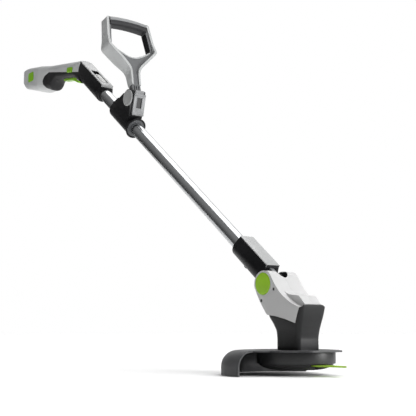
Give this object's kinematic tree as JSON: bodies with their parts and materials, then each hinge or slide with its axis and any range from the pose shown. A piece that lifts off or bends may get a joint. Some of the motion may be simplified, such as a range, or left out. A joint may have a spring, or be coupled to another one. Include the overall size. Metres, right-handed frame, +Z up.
{
  "type": "string trimmer",
  "caption": "Cordless grass trimmer with a telescopic tube, sliding front loop handle, tilting motor head, half-round guard and swinging plastic blade.",
  "frame": {"origin": "middle of the rear grip, where the user's trigger hand closes round it", "axes": "+X forward towards the cutting head, +Y to the user's left, +Z up, with the guard's rim level"},
  "size_m": [1.2087, 0.2502, 0.8278],
  "materials": {
    "handle_shell_left": "satin moulded shell, light grey",
    "handle_shell_right": "satin moulded shell, light grey",
    "grip_wrap": "soft black overmould",
    "collar_body": "satin black",
    "collar_cover": "satin light grey",
    "handle_screws": "zinc plated",
    "switch_module": "moulded",
    "control_board": "solder resist",
    "battery_terminals": "plated contacts",
    "trigger_pin": "ground",
    "trigger": "green",
    "lock_button": "green",
    "battery_case": "satin light grey",
    "battery_face": "satin black",
    "battery_cells": "sleeved cells",
    "battery_release_left": "green",
    "battery_release_right": "green",
    "tube_latch": "off-white",
    "tube": "satin anodised",
    "power_lead": "sheathed",
    "coupling_body": "satin black",
    "coupling_cover": "satin light grey",
    "coupling_screws": "zinc plated",
    "neck": "grey die casting",
    "coupling_button": "satin black",
    "clamp_body": "satin black",
    "clamp_liner": "satin grey",
    "clamp_pin": "ground",
    "clamp_cap_left": "satin light grey",
    "clamp_cap_right": "satin light grey",
    "clamp_screws": "zinc plated",
    "lever_pin": "ground",
    "clamp_lever": "satin light grey",
    "front_handle_core": "satin mid grey",
    "front_handle_side_left": "satin light grey",
    "front_handle_side_right": "satin light grey",
    "front_grip_top": "soft mid grey",
    "front_grip_pad": "soft dark grey",
    "front_handle_screws": "zinc plated",
    "head_shell_left": "satin white",
    "head_shell_right": "satin white",
    "tilt_cap_left": "lime green",
    "tilt_cap_right": "lime green",
    "tilt_pin": "ground",
    "head_screws": "dark zinc",
    "motor_housing": "satin dark grey",
    "motor": "rolled can",
    "motor_mount": "damping ring",
    "guard": "fine-grained dark grey",
    "guard_screws": "zinc plated",
    "disc_drum": "satin dark grey",
    "spindle_bearing": "ground ring",
    "spindle": "ground",
    "cutting_disc": "satin black",
    "disc_screw": "zinc plated",
    "blade": "translucent lime nylon"
  },
  "bodies": {
    "handle": {"handle_shell_left": "handle_shell_left", "handle_shell_right": "handle_shell_right", "grip_wrap": "grip_wrap", "collar_body": "collar_body", "collar_cover": "collar_cover", "handle_screws": "handle_screws", "switch_module": "switch_module", "control_board": "control_board", "battery_terminals": "battery_terminals", "trigger_pin": "trigger_pin"},
    "trigger": {"trigger": "trigger"},
    "lock_button": {"lock_button": "lock_button"},
    "battery": {"battery_case": "battery_case", "battery_face": "battery_face", "battery_cells": "battery_cells"},
    "release_left": {"battery_release_left": "battery_release_left"},
    "release_right": {"battery_release_right": "battery_release_right"},
    "latch": {"tube_latch": "tube_latch"},
    "shaft": {"tube": "tube", "power_lead": "power_lead", "coupling_body": "coupling_body", "coupling_cover": "coupling_cover", "coupling_screws": "coupling_screws", "neck": "neck"},
    "coupling_button": {"coupling_button": "coupling_button"},
    "clamp": {"clamp_body": "clamp_body", "clamp_liner": "clamp_liner", "clamp_pin": "clamp_pin", "clamp_cap_left": "clamp_cap_left", "clamp_cap_right": "clamp_cap_right", "clamp_screws": "clamp_screws", "lever_pin": "lever_pin"},
    "lever": {"clamp_lever": "clamp_lever"},
    "front_handle": {"front_handle_core": "front_handle_core", "front_handle_side_left": "front_handle_side_left", "front_handle_side_right": "front_handle_side_right", "front_grip_top": "front_grip_top", "front_grip_pad": "front_grip_pad", "front_handle_screws": "front_handle_screws"},
    "head": {"head_shell_left": "head_shell_left", "head_shell_right": "head_shell_right", "tilt_cap_left": "tilt_cap_left", "tilt_cap_right": "tilt_cap_right", "tilt_pin": "tilt_pin", "head_screws": "head_screws", "motor_housing": "motor_housing", "motor": "motor", "motor_mount": "motor_mount", "guard": "guard", "guard_screws": "guard_screws", "disc_drum": "disc_drum", "spindle_bearing": "spindle_bearing"},
    "disc": {"spindle": "spindle", "cutting_disc": "cutting_disc", "disc_screw": "disc_screw"},
    "blade": {"blade": "blade"}
  },
  "joints": [
    {"name": "telescope", "type": "slide", "parent": "handle", "child": "shaft", "axis": [0.7859, 0, -0.6184], "range_m": [0, 0.07]},
    {"name": "clamp_slide", "type": "slide", "parent": "shaft", "child": "clamp", "axis": [0.7859, 0, -0.6184], "range_m": [-0.05, 0.25]},
    {"name": "front_handle_tilt", "type": "hinge", "parent": "clamp", "child": "front_handle", "pos_m": [0.3326, 0, -0.1445], "axis": [0, -1, 0], "range_deg": [-10, 35]},
    {"name": "clamp_lever_swing", "type": "hinge", "parent": "clamp", "child": "lever", "pos_m": [0.34298, 0, -0.12989], "axis": [0, -1, 0], "range_deg": [0, 60]},
    {"name": "head_tilt", "type": "hinge", "parent": "shaft", "child": "head", "pos_m": [0.8196, 0, -0.599], "axis": [0, -1, 0], "range_deg": [0, 35]},
    {"name": "disc_spin", "type": "hinge", "parent": "head", "child": "disc", "pos_m": [0.87, 0, -0.733], "axis": [0, 0, 1], "continuous": true},
    {"name": "blade_swing", "type": "hinge", "parent": "disc", "child": "blade", "pos_m": [0.928, 0, -0.7455], "axis": [0, 0, 1], "range_deg": [-20, 20]},
    {"name": "trigger_pull", "type": "hinge", "parent": "handle", "child": "trigger", "pos_m": [0.07, 0, -0.039], "axis": [0, 1, 0], "range_deg": [0, 5], "stiffness_Nm_per_rad": 1.5, "springref_deg": -14.32},
    {"name": "lock_button_push", "type": "slide", "parent": "handle", "child": "lock_button", "axis": [0, 1, 0], "range_m": [0, 0.002], "stiffness_N_per_m": 400, "springref_m": -0.004},
    {"name": "battery_slide", "type": "slide", "parent": "handle", "child": "battery", "axis": [-0.9882, 0, 0.153], "range_m": [0, 0.08]},
    {"name": "release_left_push", "type": "slide", "parent": "battery", "child": "release_left", "axis": [0, -1, 0], "range_m": [0, 0.002], "stiffness_N_per_m": 400, "springref_m": -0.004},
    {"name": "release_right_push", "type": "slide", "parent": "battery", "child": "release_right", "axis": [0, 1, 0], "range_m": [0, 0.002], "stiffness_N_per_m": 400, "springref_m": -0.004},
    {"name": "latch_slide", "type": "slide", "parent": "handle", "child": "latch", "axis": [-0.7859, 0, 0.6184], "range_m": [0, 0.015], "stiffness_N_per_m": 150, "springref_m": -0.01},
    {"name": "coupling_button_push", "type": "slide", "parent": "shaft", "child": "coupling_button", "axis": [0.6184, 0, 0.7859], "range_m": [0, 0.003], "stiffness_N_per_m": 500, "springref_m": -0.004}
  ]
}
